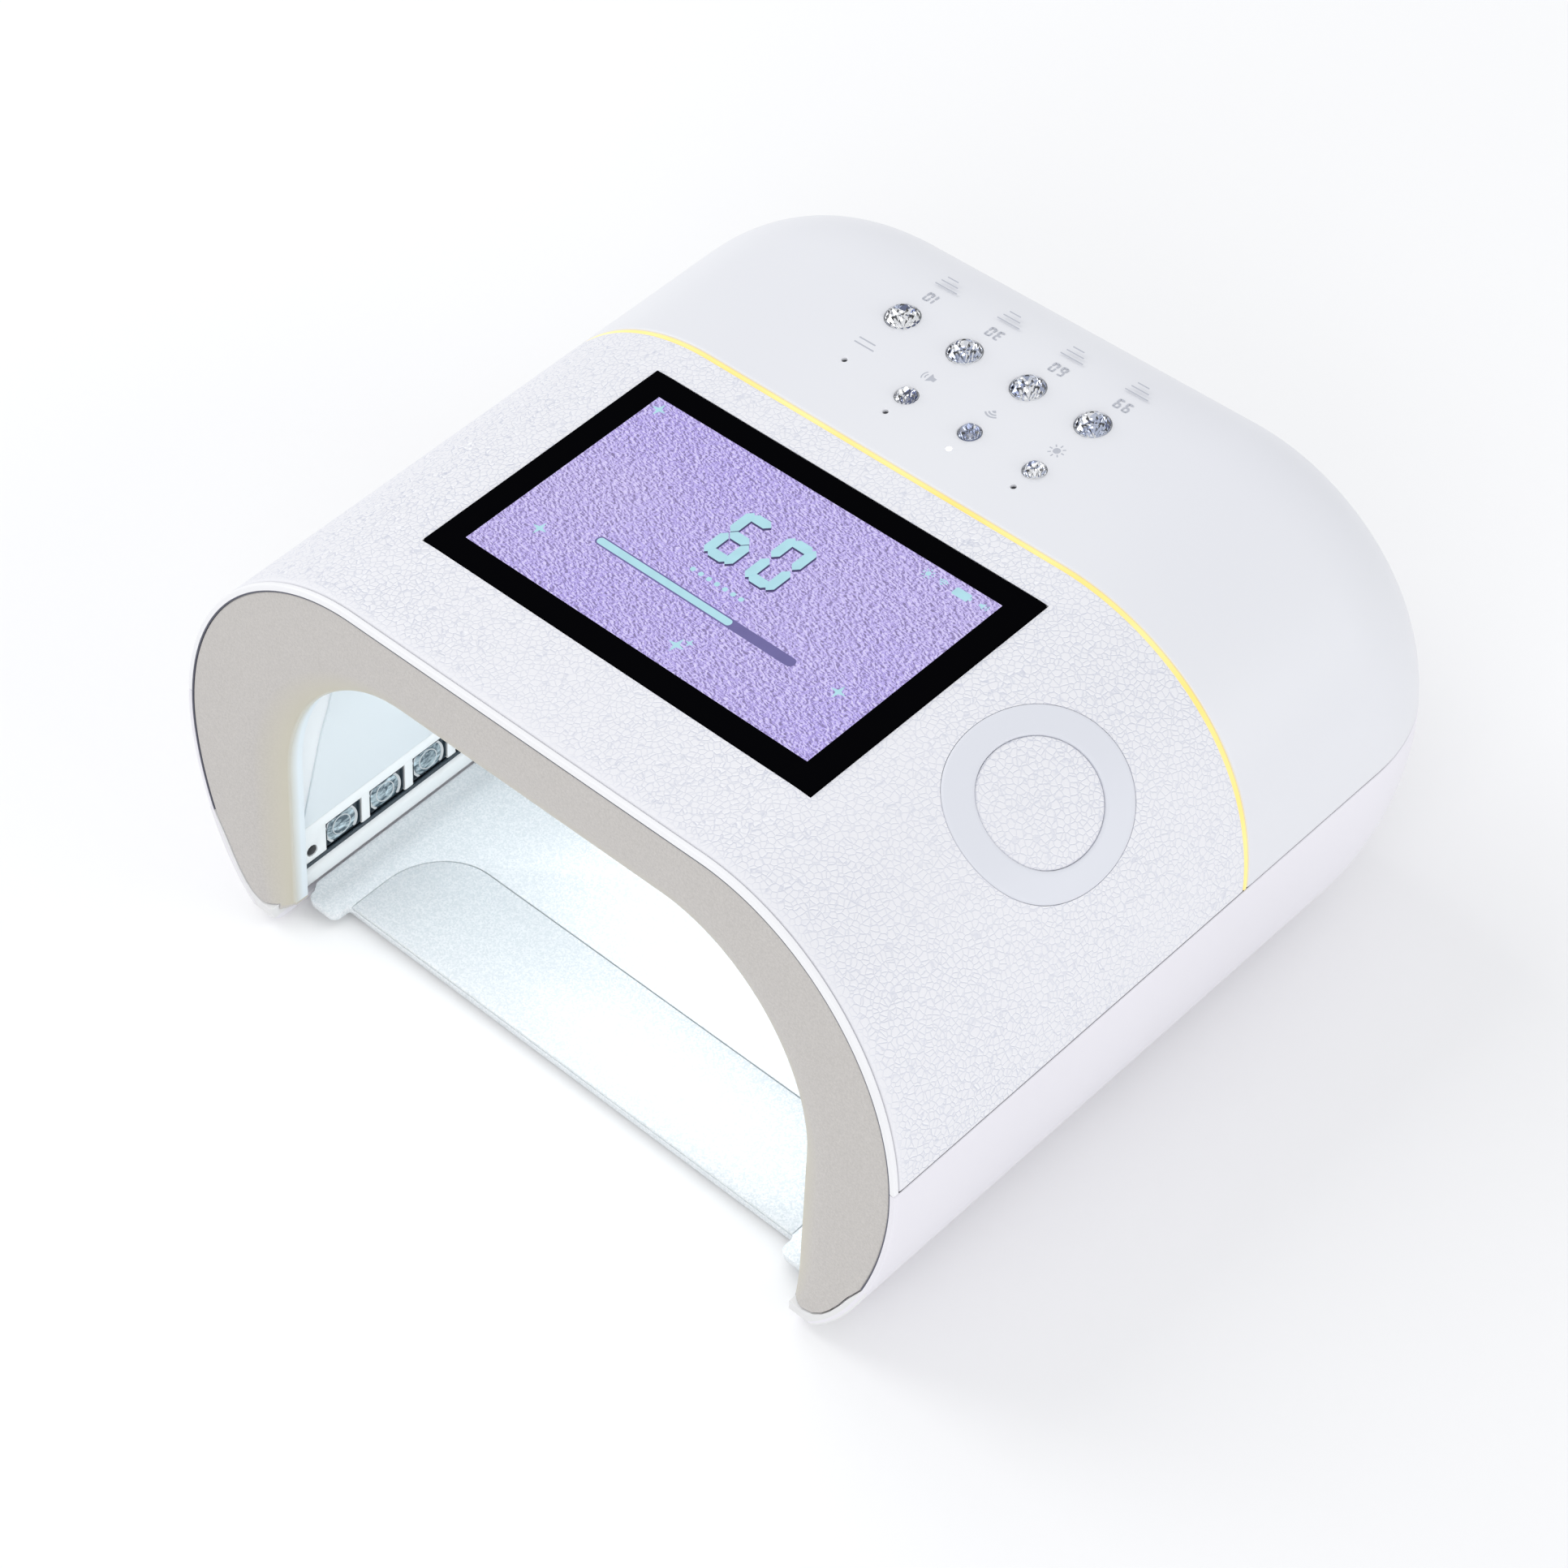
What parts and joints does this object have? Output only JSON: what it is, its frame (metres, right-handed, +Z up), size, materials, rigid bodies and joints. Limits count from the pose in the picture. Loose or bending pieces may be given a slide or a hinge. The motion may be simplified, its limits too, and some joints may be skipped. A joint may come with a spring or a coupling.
{
  "type": "uv curing lamp",
  "caption": "Arched countertop lamp that cures nail gel: hand cavity with LED side walls, touch display, gem push buttons and a slide-out floor tray.",
  "frame": {"origin": "centre of the footprint's bounding box, on the plane the feet rest on", "axes": "+X to the right seen from the hand opening, -Y out of the hand opening, +Z up"},
  "size_m": [0.2388, 0.2139, 0.117],
  "materials": {
    "leather_white": "fine pebble grain, satin",
    "satin_white": "satin moulded",
    "tub_white": "satin moulded",
    "trim_white": "smooth semi-gloss",
    "warm_grey": "fine texture",
    "reflector": "satin reflector",
    "light_guide": "translucent yellow, lit",
    "led_housing": "dark slate with clear dome",
    "lens_clear": "clear optical",
    "black_plastic": "satin",
    "tray_satin": "pearl satin",
    "display_black": "gloss cover glass over a lit panel",
    "gem_clear": "faceted clear",
    "aluminium": "satin",
    "steel": "pressed sheet",
    "pcb_green": "solder mask",
    "cell_wrap": "shrink wrap",
    "rubber_dark": "matt"
  },
  "bodies": {
    "housing": {"front_cover": "leather_white", "front_trim": "trim_white", "roundel": "trim_white", "led_bar_left": "trim_white", "led_bar_right": "trim_white", "side_rail_left": "trim_white", "side_rail_right": "trim_white", "light_strip": "light_guide", "rear_cover": "satin_white", "lower_shell": "tub_white", "front_bezel": "warm_grey", "inner_liner": "reflector", "led_board_left": "aluminium", "ir_sensor_left": "black_plastic", "led_module_left_1": "led_housing", "led_module_left_2": "led_housing", "led_module_left_3": "led_housing", "led_module_left_4": "led_housing", "led_module_left_5": "led_housing", "led_module_left_6": "led_housing", "led_module_left_7": "led_housing", "led_board_right": "aluminium", "ir_sensor_right": "black_plastic", "led_module_right_1": "led_housing", "led_module_right_2": "led_housing", "led_module_right_3": "led_housing", "led_module_right_4": "led_housing", "led_module_right_5": "led_housing", "led_module_right_6": "led_housing", "led_module_right_7": "led_housing", "ceiling_lens_plate": "lens_clear", "ceiling_led_board": "aluminium", "display_glass": "display_black", "display_panel": "steel", "display_bracket": "steel", "button_board": "pcb_green", "main_board": "pcb_green", "battery_pack": "cell_wrap", "speaker": "black_plastic", "indicator_1": "lens_clear", "indicator_2": "lens_clear", "indicator_3": "lens_clear", "indicator_4": "lens_clear", "foot_1": "rubber_dark", "foot_2": "rubber_dark", "foot_3": "rubber_dark", "foot_4": "rubber_dark", "dc_inlet": "black_plastic", "switch_body": "black_plastic"},
    "tray": {"base_tray": "tray_satin", "tray_inlay": "tray_satin"},
    "rocker": {"power_rocker": "black_plastic"},
    "button_large_1": {"gem_button_large_1": "gem_clear"},
    "button_large_2": {"gem_button_large_2": "gem_clear"},
    "button_large_3": {"gem_button_large_3": "gem_clear"},
    "button_large_4": {"gem_button_large_4": "gem_clear"},
    "button_small_1": {"gem_button_small_1": "gem_clear"},
    "button_small_2": {"gem_button_small_2": "gem_clear"},
    "button_small_3": {"gem_button_small_3": "gem_clear"}
  },
  "joints": [
    {"name": "tray_slide", "type": "slide", "parent": "housing", "child": "tray", "axis": [0, -1, 0], "range_m": [0, 0.09]},
    {"name": "button_large_1_press", "type": "slide", "parent": "housing", "child": "button_large_1", "axis": [0, 0, -1], "range_m": [0, 0.0005], "stiffness_N_per_m": 300},
    {"name": "button_large_2_press", "type": "slide", "parent": "housing", "child": "button_large_2", "axis": [0, 0, -1], "range_m": [0, 0.0005], "stiffness_N_per_m": 300},
    {"name": "button_large_3_press", "type": "slide", "parent": "housing", "child": "button_large_3", "axis": [0, 0, -1], "range_m": [0, 0.0005], "stiffness_N_per_m": 300},
    {"name": "button_large_4_press", "type": "slide", "parent": "housing", "child": "button_large_4", "axis": [0, 0, -1], "range_m": [0, 0.0005], "stiffness_N_per_m": 300},
    {"name": "button_small_1_press", "type": "slide", "parent": "housing", "child": "button_small_1", "axis": [0, 0, -1], "range_m": [0, 0.0005], "stiffness_N_per_m": 300},
    {"name": "button_small_2_press", "type": "slide", "parent": "housing", "child": "button_small_2", "axis": [0, 0, -1], "range_m": [0, 0.0005], "stiffness_N_per_m": 300},
    {"name": "button_small_3_press", "type": "slide", "parent": "housing", "child": "button_small_3", "axis": [0, 0, -1], "range_m": [0, 0.0005], "stiffness_N_per_m": 300},
    {"name": "rocker_tilt", "type": "hinge", "parent": "housing", "child": "rocker", "pos_m": [-0.038, 0.09866, 0.042], "axis": [-1, 0, 0], "range_deg": [0, 20]}
  ]
}
